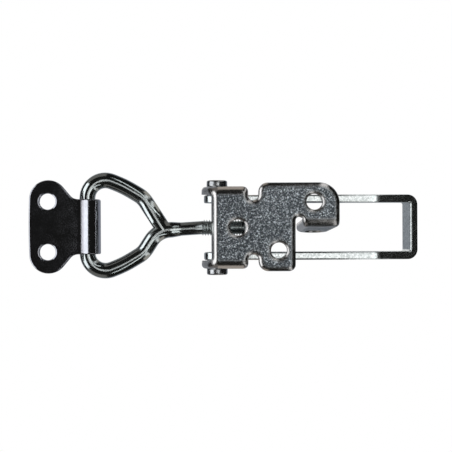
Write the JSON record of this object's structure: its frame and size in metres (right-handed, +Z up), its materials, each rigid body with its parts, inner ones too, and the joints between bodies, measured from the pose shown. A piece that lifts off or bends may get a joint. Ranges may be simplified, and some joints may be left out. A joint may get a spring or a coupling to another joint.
{
  "type": "over centre toggle latch",
  "caption": "Over centre toggle latch: U-shaped strip handle on a bent base plate with a padlock staple, threaded pull rod with a bent loop, and a hooked keeper plate.",
  "frame": {"origin": "centre of the base plate's screw hole nearest the handle's pivot, on the mounting face", "axes": "+X from the keeper towards the finger grip, +Y off the panel that the latch is screwed to, +Z up across the latch; the panel is the plane Y = 0"},
  "size_m": [0.147, 0.0248, 0.0404],
  "materials": {
    "base_zinc": "bright zinc plated pressing, lightly textured",
    "rivet_zinc": "zinc plated, flat headed",
    "handle_zinc": "bright zinc plated bar",
    "trunnion_steel": "turned and zinc plated",
    "rod_zinc": "bright zinc plated round bar",
    "keeper_zinc": "bright zinc plated pressing, smooth"
  },
  "bodies": {
    "base": {"base_plate": "base_zinc", "pivot_rivet_upper": "rivet_zinc", "pivot_rivet_lower": "rivet_zinc"},
    "handle_bar": {"handle": "handle_zinc"},
    "cross_nut": {"trunnion": "trunnion_steel"},
    "draw_rod": {"pull_rod": "rod_zinc", "keeper": "keeper_zinc"}
  },
  "joints": [
    {"name": "handle_swing", "type": "hinge", "parent": "base", "child": "handle_bar", "pos_m": [-0.0079, 0.0085, 0], "axis": [0, 0, 1], "range_deg": [0, 165]},
    {"name": "trunnion_turn", "type": "hinge", "parent": "handle_bar", "child": "cross_nut", "pos_m": [0.0059, 0.0085, 0], "axis": [0, 0, 1], "range_deg": [-165, 0]},
    {"name": "rod_adjust", "type": "slide", "parent": "cross_nut", "child": "draw_rod", "axis": [0.9995, 0.0317, 0], "range_m": [-0.005, 0.004]}
  ],
  "couplings": [
    {"joint": "trunnion_turn", "follows": "handle_swing", "ratio": -1}
  ]
}
